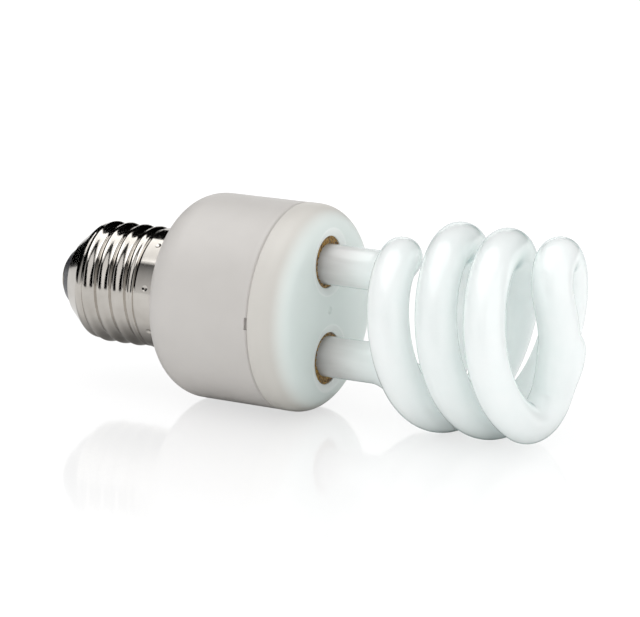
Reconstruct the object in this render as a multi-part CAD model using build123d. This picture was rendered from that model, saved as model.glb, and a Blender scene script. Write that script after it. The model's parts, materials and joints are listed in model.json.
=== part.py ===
from build123d import *

import os
from math import acos, atan, ceil, cos, degrees, hypot, pi, radians, sin, tan

# Energy saving bulb: a coiled fluorescent tube on a plastic ballast housing with a screw cap.
# Each piece is drawn on the lamp's own axis, Z, which runs from the cap to the coil, with 0 at the
# front face of the cover. At the end the lamp is laid on its side: X along it, Z up, floor at 0.
# All lengths are millimetres and all angles degrees.

# Housing: case and cover
COVER_DIAMETER = 44.4
SEAM_STEP = 0.05
CASE_LENGTH = 26.85
CASE_DRAFT = 0.5
CASE_SHOULDER_ROUNDING = 7.9
COVER_DEPTH = 7.85
COVER_ROUNDING = 5.5
HOUSING_WALL = 1.5
LIP_WALL = 1.3
LIP_LENGTH = 3.35
LIP_FIT = 0.15
SEAM_CHAMFER = 0.35
SEAM_SLOT_WIDTH = 2.6
SEAM_SLOT_HEIGHT = 0.55
SEAM_SLOT_ANGLE = 88.5
GATE_RADIUS = 0.9
GATE_DEPTH = 0.25
RIB_COUNT = 6
RIB_THICKNESS = 1.2
RIB_OVERLAP = 1.2

# Glass tube: two legs, a double spiral and the bridge over the axis
TUBE_DIAMETER = 8.7
LEG_RADIUS = 10.0
LEG_RISE = 11.0
LEG_DEPTH = 6.0
LEG_END_ROUNDING = 1.2
COIL_INSET = 0.05
COIL_PITCH = 22.2
COIL_START = 18.3
COIL_ANGLE = 510.0
ENTRY_RADIUS = 13.0
ENTRY_FROM = 15.0
ENTRY_TO = 67.0
BEND_REACH_LEG = 5.5
BEND_REACH_COIL = 7.0
EXIT_RADIUS = 6.3
BRIDGE_CROWN = 5.0
TIP_DOME_DIAMETER = 9.4
TIP_DOME_RISE = 0.3

# Tube sockets in the cover, and the cement in them
CEMENT_GAP = 1.25
LEG_INSET = 0.45
SOCKET_WALL = 1.4
SOCKET_DEPTH = 5.2
DISH_WIDTH = 1.5
DISH_DEPTH = 0.45
CEMENT_RECESS = 0.7
CEMENT_FIT = 0.03

# Screw cap
THREAD_DIAMETER = 26.1
THREAD_ROOT_DIAMETER = 24.2
THREAD_PITCH = 25.4 / 7
THREAD_START_ANGLE = 126.0
THREAD_FADE = 0.25
STEPS_PER_TURN = 16
SHELL_SHEET = 0.3
SHELL_LENGTH = 24.75
SHELL_ROUNDING = 1.6
MOUTH_TAPER = 4.3
MOUTH_STRAIGHT = 0.8
SHELL_MOUTH_DIAMETER = 17.8
SKIRT_DIAMETER = 26.0
SKIRT_LENGTH = 5.6
SKIRT_STEP = 0.9
PUNCH_COUNT = 8
PUNCH_RADIUS = 1.2
PUNCH_DEPTH = 0.2
PUNCH_OFFSET = 3.2
PUNCH_ANGLE = 33.0
CAP_NOSE = 3.85
CAP_FIT = 0.1
NECK_LENGTH = 11.0
NECK_WALL = 1.6
INSULATOR_SEAT = 1.2
INSULATOR_RISE = 2.4
INSULATOR_TIP_DIAMETER = 11.4
CONTACT_DIAMETER = 9.8
CONTACT_THICKNESS = 0.8
CONTACT_ROUNDING = 0.4
CONTACT_EYE_DIAMETER = 1.8
SOLDER_RECESS = 0.05

# Circuit board and the way components sit on it
BOARD_THICKNESS = 1.6
BOARD_FIT = 0.35
BOARD_PLAY = 0.2
STANDOFF = 0.2
LEAD_DIAMETER = 0.6
LEAD_HOLE_FIT = 0.1
LEAD_TAIL = 0.8
RETURN_DROP = 1.0
TOUCH = 0.05

# Lamp choke, on the lower side of the lying lamp
CHOKE_OFFSET = 9.8
CORE_WIDTH = 16.0
CORE_HEIGHT = 13.6
CORE_DEPTH = 5.0
CORE_LEG = 4.0
CORE_YOKE = 2.2
BOBBIN_WALL = 0.8
BOBBIN_DEPTH = 12.0
BOBBIN_FIT = 0.1
WINDING_THICKNESS = 2.2
CHOKE_PIN_SPREAD = 4.0

# Other components: sizes
SMOOTHING_DIAMETER = 10.0
SMOOTHING_LENGTH = 16.0
CRIMP_OFFSET = 2.0
CRIMP_DEPTH = 0.4
RESONANT_SIZE = (9.0, 4.0, 8.0)
BLOCKING_SIZE = (7.0, 3.5, 8.0)
STARTING_SIZE = (2.4, 4.0, 6.0)
FILM_ROUNDING = 0.6
FILM_LEAD_INSET = 1.2
TRANSISTOR_SIZE = (8.0, 2.7, 11.0)
TRANSISTOR_HOLE_DIAMETER = 3.2
TRANSISTOR_HOLE_DROP = 7.2
TRANSISTOR_LEAD_SPACING = 2.3
DIODE_DIAMETER = 2.7
DIODE_LENGTH = 5.2
DIODE_RETURN = 2.6
DIAC_DIAMETER = 1.9
DIAC_LENGTH = 3.8
RESISTOR_DIAMETER = 2.3
RESISTOR_LENGTH = 6.3
RESISTOR_RETURN = 2.6
TOROID_DIAMETER = 9.5
TOROID_BORE = 5.0
TOROID_HEIGHT = 4.2
TOROID_WIRE = 0.5
TOROID_WINDINGS = 3
TOROID_TURNS = 3
TOROID_TURN_ANGLE = 13.0
INDUCTOR_DIAMETER = 5.6
INDUCTOR_LENGTH = 8.0
INDUCTOR_FLANGE = 1.2
INDUCTOR_LEAD_SPREAD = 1.5
FUSE_DIAMETER = 3.4
FUSE_LENGTH = 9.0
FUSE_INSET = 6.2
FUSE_SLEEVE_WALL = 0.4
FUSE_LEAD_OFFSET = 1.6
SHELL_WIRE_DIAMETER = 1.0
SHELL_WIRE_BEND = 2.0
PIN_WIDTH = 0.8
PIN_RISE = 4.6
PIN_GAP = 0.45
TUBE_LEAD_DIAMETER = 0.5
TUBE_LEAD_SPREAD = 1.6
TUBE_LEAD_BEND = 0.8

# Other components: places on the board
SMOOTHING_PLACE = (-5.5, 0.0)
TOROID_PLACE = (-7.0, 10.8)
RESONANT_PLACE = (-7.0, -9.0)
BLOCKING_PLACE = (-5.0, -14.2)
STARTING_PLACE = (-13.3, -9.2)
TRANSISTOR_PLACES = ((8.0, 12.2), (8.0, -12.2))
DIODE_RING_INSET = 4.3
DIODE_ANGLES = (160.0, 172.0, 188.0, 200.0)
DIAC_PLACE = (1.6, 4.2)
DIAC_RETURN = (-2.0, 1.4)
RESISTOR_PLACES = ((1.2, 8.6), (1.2, -8.6), (1.4, -13.5))
RESISTOR_RETURNS = ((-RESISTOR_RETURN, 0.0), (-RESISTOR_RETURN, 0.0), (0.0, RESISTOR_RETURN))
INDUCTOR_PLACE = (0.4, 14.6)
SHELL_WIRE_PLACE = (1.6, -4.5)
SHELL_WIRE_HEADING = -72.0

# Sizes and heights that follow from the ones above
TUBE_RADIUS = TUBE_DIAMETER / 2
COVER_RADIUS = COVER_DIAMETER / 2
CASE_RADIUS = COVER_RADIUS - SEAM_STEP
COIL_RADIUS = COVER_RADIUS - COIL_INSET - TUBE_RADIUS
SEAM_Z = -COVER_DEPTH
SHOULDER_Z = SEAM_Z - CASE_LENGTH
SHOULDER_RADIUS = CASE_RADIUS - CASE_LENGTH * tan(radians(CASE_DRAFT))
CASE_BORE = CASE_RADIUS - HOUSING_WALL
LIP_RADIUS = CASE_BORE - LIP_FIT
LIP_END_Z = SEAM_Z - LIP_LENGTH
BOARD_TOP = LIP_END_Z - BOARD_PLAY
BOARD_BOTTOM = BOARD_TOP - BOARD_THICKNESS
BOARD_RADIUS = CASE_BORE - BOARD_FIT
SEAT_Z = BOARD_BOTTOM - STANDOFF
HOLE_RADIUS = TUBE_RADIUS + CEMENT_GAP
HOLE_OFFSET = LEG_RADIUS + LEG_INSET
LEG_END_Z = -LEG_DEPTH
SOCKET_END_Z = -SOCKET_DEPTH
THREAD_RADIUS = THREAD_DIAMETER / 2
ROOT_RADIUS = THREAD_ROOT_DIAMETER / 2
THREAD_DEPTH = THREAD_RADIUS - ROOT_RADIUS
THREAD_MEAN_RADIUS = ROOT_RADIUS + THREAD_DEPTH / 2
SHELL_END_Z = SHOULDER_Z - SHELL_LENGTH
SKIRT_END_Z = SHOULDER_Z - SKIRT_LENGTH
SKIRT_RADIUS = SKIRT_DIAMETER / 2
TAPER_Z = SHELL_END_Z + MOUTH_TAPER
THREAD_START_Z = TAPER_Z + MOUTH_STRAIGHT
THREAD_STOP_Z = SKIRT_END_Z - SKIRT_STEP
THREAD_TURNS = (THREAD_STOP_Z - THREAD_START_Z) / THREAD_PITCH
MOUTH_RADIUS = SHELL_MOUTH_DIAMETER / 2
MOUTH_ANGLE = atan((THREAD_MEAN_RADIUS - MOUTH_RADIUS) / MOUTH_TAPER)
THROAT_RADIUS = MOUTH_RADIUS - SHELL_SHEET / cos(MOUTH_ANGLE) - CAP_FIT
CAP_TIP_Z = SHELL_END_Z - CAP_NOSE
INSULATOR_END_Z = CAP_TIP_Z + CONTACT_THICKNESS
NECK_END_Z = SHOULDER_Z - NECK_LENGTH
NECK_SKIRT_RADIUS = SKIRT_RADIUS - SHELL_SHEET - CAP_FIT
NECK_RADIUS = ROOT_RADIUS - SHELL_SHEET - CAP_FIT
NECK_BORE = NECK_RADIUS - NECK_WALL
COIL_SLOPE = COIL_PITCH / (2 * pi * COIL_RADIUS)
TIP_DOME_RADIUS = TIP_DOME_DIAMETER / 2
PIN_SPREAD = TUBE_RADIUS + PIN_GAP + PIN_WIDTH / 2


def turned(outline):
    """Solid turned about the lamp axis; a third number in a corner is that corner's rounding."""
    corners = [corner[:2] for corner in outline]
    rounding = [corner[2] if len(corner) > 2 else 0 for corner in outline]
    face = make_face(FilletPolyline(*corners, radius=rounding, close=True))
    return revolve(Plane.XZ * face, Axis.Z)


def rod(radius, bottom, top, place=(0.0, 0.0)):
    """Round rod parallel to the lamp axis between two heights."""
    return Pos(place[0], place[1], (bottom + top) / 2) * Cylinder(radius, top - bottom)


def block(size, top, place=(0.0, 0.0)):
    """Box whose upper face is at a given height."""
    return Pos(place[0], place[1], top - size[2] / 2) * Box(*size)


def wire(points, diameter, bend):
    """Round wire along straight runs with rounded bends."""
    path = FilletPolyline(*points, radius=bend)
    section = Plane(origin=path @ 0, z_dir=path % 0) * Circle(diameter / 2)
    return sweep(section, path=path)


def both_sides(piece):
    """A piece and its copy half a turn round the lamp axis."""
    return [piece, Rot(0, 0, 180) * piece]


# Every lead that passes through the board notes its place here, and the board is drilled there.
lead_places = []


def lead(place, bottom):
    """Straight lead from a component up through the board."""
    lead_places.append(place)
    return rod(LEAD_DIAMETER / 2, bottom, BOARD_TOP + LEAD_TAIL, place)


def standing(diameter, length, place, back):
    """Axial component standing on the board, its far lead bent back to the board."""
    x, y = place
    far = (x + back[0], y + back[1])
    body = rod(diameter / 2, SEAT_Z - length, SEAT_Z, place)
    body = fillet(body.edges(), diameter / 8)
    low = SEAT_Z - length - RETURN_DROP
    loop = wire(
        [(x, y, SEAT_Z - length), (x, y, low), (*far, low), (*far, SEAT_Z)],
        LEAD_DIAMETER,
        LEAD_DIAMETER,
    )
    return body + loop + lead(place, SEAT_Z - length / 2) + lead(far, SEAT_Z - LEAD_DIAMETER)


# Glass tube


def turn(radius, start, stop, height, tangent_at):
    """Stretch of spiral that touches the coil's circle from inside at one angle."""
    inset = COIL_RADIUS - radius
    rise = radius * COIL_SLOPE
    helix = Helix(2 * pi * rise, rise * radians(stop - start), radius)
    centre = (inset * cos(radians(tangent_at)), inset * sin(radians(tangent_at)), height)
    return Pos(*centre) * Rot(0, 0, start) * helix


def arm_path():
    """Centre line of one half of the tube, from the leg's end to the middle of the bridge."""
    foot = Vector(LEG_RADIUS, 0, LEG_END_Z)
    knee = Vector(LEG_RADIUS, 0, LEG_RISE)
    join_z = COIL_START + COIL_PITCH * ENTRY_TO / 360
    entry_z = join_z - COIL_SLOPE * ENTRY_RADIUS * radians(ENTRY_TO - ENTRY_FROM)
    entry = turn(ENTRY_RADIUS, ENTRY_FROM, ENTRY_TO, entry_z, ENTRY_TO)
    coil = turn(COIL_RADIUS, ENTRY_TO, COIL_ANGLE, join_z, 0)
    exit_z = COIL_START + COIL_PITCH * COIL_ANGLE / 360
    sweep_angle = 180 - degrees(acos(EXIT_RADIUS / (COIL_RADIUS - EXIT_RADIUS)))
    leave = turn(EXIT_RADIUS, COIL_ANGLE, COIL_ANGLE + sweep_angle, exit_z, COIL_ANGLE)
    bend = Bezier(
        knee,
        knee + Vector(0, 0, BEND_REACH_LEG),
        entry @ 0 - (entry % 0) * BEND_REACH_COIL,
        entry @ 0,
    )
    # The bridge climbs straight towards the axis and levels out over its crown.
    start = leave @ 1
    heading = leave % 1
    climb = atan(COIL_SLOPE)
    run = hypot(start.X, start.Y) - BRIDGE_CROWN
    crown = start + heading * (run / cos(climb))
    middle = Vector(0, 0, crown.Z + BRIDGE_CROWN * tan(climb / 2))
    return Wire(
        [
            Line(foot, knee),
            bend,
            entry,
            coil,
            leave,
            Line(start, crown),
            TangentArc(crown, middle, tangent=heading),
        ]
    )


def glass_tube():
    path = arm_path()
    section = Plane(origin=path @ 0, z_dir=path % 0) * Circle(TUBE_RADIUS)
    arm = sweep(section, path=path)
    foot = arm.edges().group_by(Axis.Z)[0]
    arm = fillet(foot, LEG_END_ROUNDING)
    middle = path @ 1
    dome = Pos(0, 0, middle.Z + TIP_DOME_RISE) * Sphere(TIP_DOME_RADIUS)
    first, second = both_sides(arm)
    return first + second + dome


TUBE_TOP_Z = (arm_path() @ 1).Z + TIP_DOME_RISE + TIP_DOME_RADIUS


def tube_cement():
    bead = rod(HOLE_RADIUS - CEMENT_FIT, SOCKET_END_Z, -CEMENT_RECESS, (HOLE_OFFSET, 0))
    bead -= rod(TUBE_RADIUS + CEMENT_FIT, SOCKET_END_Z, -CEMENT_RECESS, (LEG_RADIUS, 0))
    return Compound(children=both_sides(bead))


# Housing


def ballast_case():
    body = turned(
        [
            (0, SEAM_Z),
            (CASE_RADIUS - SEAM_CHAMFER, SEAM_Z),
            (CASE_RADIUS, SEAM_Z - SEAM_CHAMFER),
            (SHOULDER_RADIUS, SHOULDER_Z, CASE_SHOULDER_ROUNDING),
            (NECK_SKIRT_RADIUS, SHOULDER_Z),
            (NECK_SKIRT_RADIUS, SKIRT_END_Z),
            (NECK_RADIUS, SKIRT_END_Z - SKIRT_STEP),
            (NECK_RADIUS, NECK_END_Z),
            (0, NECK_END_Z),
        ]
    )
    floor_z = SHOULDER_Z + HOUSING_WALL
    cavity = turned(
        [
            (0, SEAM_Z),
            (CASE_BORE, SEAM_Z),
            (CASE_BORE, BOARD_BOTTOM),
            (SHOULDER_RADIUS - HOUSING_WALL, floor_z, CASE_SHOULDER_ROUNDING - HOUSING_WALL),
            (NECK_BORE, floor_z),
            (NECK_BORE, NECK_END_Z),
            (0, NECK_END_Z),
        ]
    )
    rib_height = BOARD_BOTTOM - SHOULDER_Z
    rib_inner = BOARD_RADIUS - RIB_OVERLAP
    rib_width = CASE_RADIUS - rib_inner
    rib = block((rib_width, RIB_THICKNESS, rib_height), BOARD_BOTTOM, (rib_inner + rib_width / 2, 0))
    for index in range(RIB_COUNT):
        cavity -= Rot(0, 0, (index + 0.5) * 360 / RIB_COUNT) * rib
    body -= cavity
    slot = block((HOUSING_WALL, SEAM_SLOT_WIDTH, SEAM_SLOT_HEIGHT), SEAM_Z, (CASE_RADIUS, 0))
    for notch in both_sides(Rot(0, 0, SEAM_SLOT_ANGLE) * slot):
        body -= notch
    return body


def tube_cover():
    bore = LIP_RADIUS - LIP_WALL
    cover = turned(
        [
            (0, 0),
            (COVER_RADIUS, 0, COVER_ROUNDING),
            (COVER_RADIUS, SEAM_Z + SEAM_CHAMFER),
            (COVER_RADIUS - SEAM_CHAMFER, SEAM_Z),
            (LIP_RADIUS, SEAM_Z),
            (LIP_RADIUS, LIP_END_Z),
            (bore, LIP_END_Z),
            (bore, -HOUSING_WALL, COVER_ROUNDING / 2),
            (0, -HOUSING_WALL),
        ]
    )
    socket = rod(HOLE_RADIUS + SOCKET_WALL, SOCKET_END_Z, -HOUSING_WALL / 2, (HOLE_OFFSET, 0))
    hole = rod(HOLE_RADIUS, SOCKET_END_Z, 0, (HOLE_OFFSET, 0))
    dish = Pos(HOLE_OFFSET, 0, -DISH_DEPTH / 2) * Cone(HOLE_RADIUS, HOLE_RADIUS + DISH_WIDTH, DISH_DEPTH)
    for boss in both_sides(socket):
        cover += boss
    for opening in both_sides(hole) + both_sides(dish):
        cover -= opening
    gate_ball = (GATE_RADIUS**2 + GATE_DEPTH**2) / (2 * GATE_DEPTH)
    return cover - Pos(0, 0, gate_ball - GATE_DEPTH) * Sphere(gate_ball)


# Screw cap


def thread_path():
    """Small helix that a circle follows to roll the thread; its radius grows and fades at the ends."""
    points = []
    steps = ceil(THREAD_TURNS * STEPS_PER_TURN)
    for step in range(steps + 1):
        turns = THREAD_TURNS * step / steps
        from_end = min(turns, THREAD_TURNS - turns)
        grown = sin(pi / 2 * min(from_end / THREAD_FADE, 1)) ** 2
        angle = radians(THREAD_START_ANGLE) + 2 * pi * turns
        reach = THREAD_DEPTH / 2 * grown
        points.append((reach * cos(angle), reach * sin(angle), THREAD_START_Z + THREAD_PITCH * turns))
    return Spline(*points)


def shell_form(inset):
    """Filled form of the rolled shell, drawn in all round; its inside is drawn in by the sheet."""
    mean = THREAD_MEAN_RADIUS - inset
    skirt = turned(
        [
            (0, SHOULDER_Z),
            (SKIRT_RADIUS - inset, SHOULDER_Z),
            (SKIRT_RADIUS - inset, SKIRT_END_Z, SKIRT_STEP / 2),
            (mean, THREAD_STOP_Z),
            (0, THREAD_STOP_Z),
        ]
    )
    path = thread_path()
    thread = sweep(Pos(*(path @ 0)) * Circle(mean), path=path, normal=(0, 0, 1))
    # Drawn in, the taper stays parallel to itself, so that the sheet is equally thick all along.
    lip = turned(
        [
            (0, THREAD_START_Z),
            (mean, THREAD_START_Z),
            (mean, TAPER_Z + inset * tan(MOUTH_ANGLE / 2), SHELL_ROUNDING - inset),
            (MOUTH_RADIUS - inset / cos(MOUTH_ANGLE), SHELL_END_Z),
            (0, SHELL_END_Z),
        ]
    )
    return skirt + thread + lip


def screw_shell():
    shell = shell_form(0) - shell_form(SHELL_SHEET)
    punch_reach = SKIRT_RADIUS + PUNCH_RADIUS - PUNCH_DEPTH
    punch = Pos(punch_reach, 0, SHOULDER_Z - PUNCH_OFFSET) * Sphere(PUNCH_RADIUS)
    for index in range(PUNCH_COUNT):
        shell -= Rot(0, 0, PUNCH_ANGLE + index * 360 / PUNCH_COUNT) * punch
    return shell


def cap_insulator():
    """Moulded plug in the shell's mouth, with a flange that follows the taper inside."""
    eye = CONTACT_EYE_DIAMETER / 2
    flange = THROAT_RADIUS + INSULATOR_SEAT * tan(MOUTH_ANGLE)
    return turned(
        [
            (eye, SHELL_END_Z + INSULATOR_RISE),
            (flange, SHELL_END_Z + INSULATOR_RISE, CAP_FIT),
            (flange, SHELL_END_Z + INSULATOR_SEAT),
            (THROAT_RADIUS, SHELL_END_Z),
            (INSULATOR_TIP_DIAMETER / 2, INSULATOR_END_Z, CONTACT_ROUNDING),
            (eye, INSULATOR_END_Z),
        ]
    )


def centre_contact():
    return turned(
        [
            (CONTACT_EYE_DIAMETER / 2, INSULATOR_END_Z),
            (CONTACT_DIAMETER / 2, INSULATOR_END_Z),
            (CONTACT_DIAMETER / 2, CAP_TIP_Z, CONTACT_ROUNDING),
            (CONTACT_EYE_DIAMETER / 2, CAP_TIP_Z),
        ]
    )


def contact_solder():
    return rod(CONTACT_EYE_DIAMETER / 2, CAP_TIP_Z + SOLDER_RECESS, INSULATOR_END_Z)


# Ballast components, which hang from the board towards the cap


def choke_core():
    half_height = CORE_HEIGHT / 2
    half = block((CORE_DEPTH, CORE_WIDTH, half_height), 0)
    window = (CORE_WIDTH - 2 * CORE_LEG) / 2
    window_size = (CORE_DEPTH, window, half_height - CORE_YOKE)
    for side in (-1, 1):
        half -= block(window_size, -CORE_YOKE, (0, side * (CORE_LEG + window) / 2))
    upper = Pos(CHOKE_OFFSET, 0, SEAT_Z) * half
    lower = Pos(CHOKE_OFFSET, 0, SEAT_Z - CORE_HEIGHT) * Rot(180, 0, 0) * half
    return Compound(children=[upper, lower])


def choke_former():
    """Heights and sizes that the bobbin and its winding share."""
    top = SEAT_Z - CORE_YOKE - BOBBIN_FIT
    height = CORE_HEIGHT - 2 * CORE_YOKE - 2 * BOBBIN_FIT
    hollow = (CORE_DEPTH + 2 * BOBBIN_FIT, CORE_LEG + 2 * BOBBIN_FIT)
    barrel = tuple(side + 2 * BOBBIN_WALL for side in hollow)
    return top, height, hollow, barrel


def choke_bobbin():
    top, height, hollow, barrel = choke_former()
    place = (CHOKE_OFFSET, 0)
    flange_width = CORE_WIDTH - CORE_LEG - 2 * BOBBIN_FIT
    flange = (BOBBIN_DEPTH, flange_width, BOBBIN_WALL)
    bobbin = block((*barrel, height), top, place)
    bobbin += block(flange, top, place)
    bobbin += block(flange, top - height + BOBBIN_WALL, place)
    bobbin -= block((*hollow, height), top, place)
    pin_reach = (BOBBIN_DEPTH + CORE_DEPTH) / 4
    for side in (-1, 1):
        for spread in (-CHOKE_PIN_SPREAD, CHOKE_PIN_SPREAD):
            bobbin += lead((CHOKE_OFFSET + side * pin_reach, spread), top - BOBBIN_WALL / 2)
    return bobbin


def choke_winding():
    top, height, _, barrel = choke_former()
    outer = [side + 2 * WINDING_THICKNESS for side in barrel]
    length = height - 2 * BOBBIN_WALL - 2 * BOBBIN_FIT
    upper = top - BOBBIN_WALL - BOBBIN_FIT
    coil = block((*outer, length), upper, (CHOKE_OFFSET, 0))
    coil = fillet(coil.edges().filter_by(Axis.Z), WINDING_THICKNESS)
    inner = [side + 2 * BOBBIN_FIT for side in barrel]
    return coil - block((*inner, length), upper, (CHOKE_OFFSET, 0))


def toroid_core():
    top = SEAT_Z - TOROID_WIRE - TOUCH
    ring = rod(TOROID_DIAMETER / 2, top - TOROID_HEIGHT, top, TOROID_PLACE)
    return ring - rod(TOROID_BORE / 2, top - TOROID_HEIGHT, top, TOROID_PLACE)


def toroid_windings():
    """Three short windings, each turn a square loop round the ring with its ends at the board."""
    wall = (TOROID_DIAMETER - TOROID_BORE) / 2 + 2 * TOUCH
    tall = TOROID_HEIGHT + 2 * TOUCH
    middle = (TOROID_DIAMETER + TOROID_BORE) / 4
    outer = (wall + 2 * TOROID_WIRE, TOROID_WIRE, tall + 2 * TOROID_WIRE)
    loop = block(outer, SEAT_Z, (middle, 0))
    loop -= block((wall, TOROID_WIRE, tall), SEAT_Z - TOROID_WIRE, (middle, 0))
    end_radius = middle + wall / 2 + TOROID_WIRE / 2
    loops = []
    for winding in range(TOROID_WINDINGS):
        for index in range(TOROID_TURNS):
            angle = winding * 360 / TOROID_WINDINGS + (index - (TOROID_TURNS - 1) / 2) * TOROID_TURN_ANGLE
            turn_loop = Pos(*TOROID_PLACE) * Rot(0, 0, angle) * loop
            if index in (0, TOROID_TURNS - 1):
                x = TOROID_PLACE[0] + end_radius * cos(radians(angle))
                y = TOROID_PLACE[1] + end_radius * sin(radians(angle))
                turn_loop += lead((x, y), SEAT_Z - TOROID_HEIGHT / 2)
            loops.append(turn_loop)
    return Compound(children=loops)


def smoothing_capacitor():
    radius = SMOOTHING_DIAMETER / 2
    crimp = SEAT_Z - CRIMP_OFFSET
    can = turned(
        [
            (0, SEAT_Z),
            (radius, SEAT_Z, CRIMP_DEPTH),
            (radius, crimp + CRIMP_DEPTH),
            (radius - CRIMP_DEPTH, crimp),
            (radius, crimp - CRIMP_DEPTH),
            (radius, SEAT_Z - SMOOTHING_LENGTH, CRIMP_DEPTH),
            (0, SEAT_Z - SMOOTHING_LENGTH),
        ]
    )
    can = Pos(*SMOOTHING_PLACE) * can
    for side in (-1, 1):
        place = (SMOOTHING_PLACE[0], SMOOTHING_PLACE[1] + side * radius / 2)
        can += lead(place, SEAT_Z - CRIMP_OFFSET)
    return can


def film_capacitor(size, place, along):
    """Boxed film capacitor with two leads along its longer side."""
    body = block(size, SEAT_Z, place)
    body = fillet(body.edges(), FILM_ROUNDING)
    for side in (-1, 1):
        reach = side * (size[along] / 2 - FILM_LEAD_INSET)
        spot = (place[0] + reach, place[1]) if along == 0 else (place[0], place[1] + reach)
        body += lead(spot, SEAT_Z - size[2] / 2)
    return body


def switching_transistors():
    pieces = []
    for place in TRANSISTOR_PLACES:
        body = block(TRANSISTOR_SIZE, SEAT_Z, place)
        hole = Rot(90, 0, 0) * Cylinder(TRANSISTOR_HOLE_DIAMETER / 2, 2 * TRANSISTOR_SIZE[1])
        body -= Pos(*place, SEAT_Z - TRANSISTOR_HOLE_DROP) * hole
        for step in (-1, 0, 1):
            spot = (place[0] + step * TRANSISTOR_LEAD_SPACING, place[1])
            body += lead(spot, SEAT_Z - TRANSISTOR_SIZE[1])
        pieces.append(body)
    return Compound(children=pieces)


def rectifier_diodes():
    ring = BOARD_RADIUS - DIODE_RING_INSET
    pieces = []
    for angle in DIODE_ANGLES:
        heading = (cos(radians(angle)), sin(radians(angle)))
        place = (ring * heading[0], ring * heading[1])
        back = (-DIODE_RETURN * heading[0], -DIODE_RETURN * heading[1])
        pieces.append(standing(DIODE_DIAMETER, DIODE_LENGTH, place, back))
    return Compound(children=pieces)


def trigger_diac():
    return standing(DIAC_DIAMETER, DIAC_LENGTH, DIAC_PLACE, DIAC_RETURN)


def base_resistors():
    spots = zip(RESISTOR_PLACES, RESISTOR_RETURNS)
    return Compound(
        children=[standing(RESISTOR_DIAMETER, RESISTOR_LENGTH, place, back) for place, back in spots]
    )


def input_inductor():
    radius = INDUCTOR_DIAMETER / 2
    drum = rod(radius, SEAT_Z - INDUCTOR_LENGTH, SEAT_Z, INDUCTOR_PLACE)
    waist_bottom = SEAT_Z - INDUCTOR_LENGTH + INDUCTOR_FLANGE
    waist_top = SEAT_Z - INDUCTOR_FLANGE
    drum -= rod(radius, waist_bottom, waist_top, INDUCTOR_PLACE)
    drum += rod(radius - LEAD_DIAMETER, waist_bottom, waist_top, INDUCTOR_PLACE)
    for side in (-1, 1):
        place = (INDUCTOR_PLACE[0] + side * INDUCTOR_LEAD_SPREAD, INDUCTOR_PLACE[1])
        drum += lead(place, SEAT_Z - INDUCTOR_FLANGE)
    return drum


# Wiring


def fuse_heights():
    """Upper and lower end of the fusible resistor's body, which hangs in the cap."""
    upper = SHOULDER_Z - FUSE_INSET
    return upper, upper - FUSE_LENGTH


def fuse_resistor():
    upper, lower = fuse_heights()
    body = rod(FUSE_DIAMETER / 2, lower, upper)
    body = fillet(body.edges(), FUSE_DIAMETER / 8)
    tail = rod(LEAD_DIAMETER / 2, INSULATOR_END_Z, lower + FUSE_DIAMETER / 2)
    spot = (FUSE_LEAD_OFFSET, 0.0)
    lead_places.append(spot)
    clear_of_body = upper + FUSE_DIAMETER
    riser = wire(
        [
            (0, 0, upper - FUSE_DIAMETER / 2),
            (0, 0, clear_of_body),
            (*spot, clear_of_body + 2 * FUSE_DIAMETER),
            (*spot, BOARD_TOP + LEAD_TAIL),
        ],
        LEAD_DIAMETER,
        FUSE_LEAD_OFFSET,
    )
    return body + tail + riser


def fuse_sleeve():
    upper, lower = fuse_heights()
    inner = FUSE_DIAMETER / 2 + TOUCH
    sleeve = rod(inner + FUSE_SLEEVE_WALL, lower, upper)
    return sleeve - rod(inner, lower, upper)


def shell_wire():
    heading = (cos(radians(SHELL_WIRE_HEADING)), sin(radians(SHELL_WIRE_HEADING)))
    half = SHELL_WIRE_DIAMETER / 2
    inside = NECK_BORE - half - CAP_FIT
    outside = ROOT_RADIUS - SHELL_SHEET - half - TOUCH
    below_neck = NECK_END_Z - 2 * SHELL_WIRE_BEND
    lead_places.append(SHELL_WIRE_PLACE)
    down = SHOULDER_Z + 2 * SHELL_WIRE_BEND
    insulated = wire(
        [
            (*SHELL_WIRE_PLACE, SEAT_Z),
            (*SHELL_WIRE_PLACE, SEAT_Z - 2 * SHELL_WIRE_BEND),
            (inside * heading[0], inside * heading[1], down),
            (inside * heading[0], inside * heading[1], NECK_END_Z),
            (outside * heading[0], outside * heading[1], below_neck),
        ],
        SHELL_WIRE_DIAMETER,
        SHELL_WIRE_BEND,
    )
    core_bottom = BOARD_BOTTOM - SHELL_WIRE_BEND
    return insulated + rod(LEAD_DIAMETER / 2, core_bottom, BOARD_TOP + LEAD_TAIL, SHELL_WIRE_PLACE)


def wrap_pins():
    pins = []
    for side in (-1, 1):
        for spread in (-PIN_SPREAD, PIN_SPREAD):
            size = (PIN_WIDTH, PIN_WIDTH, PIN_RISE + BOARD_THICKNESS)
            pins.append(block(size, BOARD_TOP + PIN_RISE, (side * LEG_RADIUS, spread)))
    return Compound(children=pins)


def tube_leads():
    """Filament leads from each leg's end to the wrap pins beside it."""
    top = LEG_END_Z - TOUCH
    turn_z = (top + BOARD_TOP) / 2
    stop = PIN_SPREAD - PIN_WIDTH / 2 - TOUCH
    wires = []
    for side in (-1, 1):
        for hand in (-1, 1):
            x = side * LEG_RADIUS
            points = [
                (x, hand * TUBE_LEAD_SPREAD, top),
                (x, hand * TUBE_LEAD_SPREAD, turn_z),
                (x, hand * stop, turn_z),
            ]
            wires.append(wire(points, TUBE_LEAD_DIAMETER, TUBE_LEAD_BEND))
    return Compound(children=wires)


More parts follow.
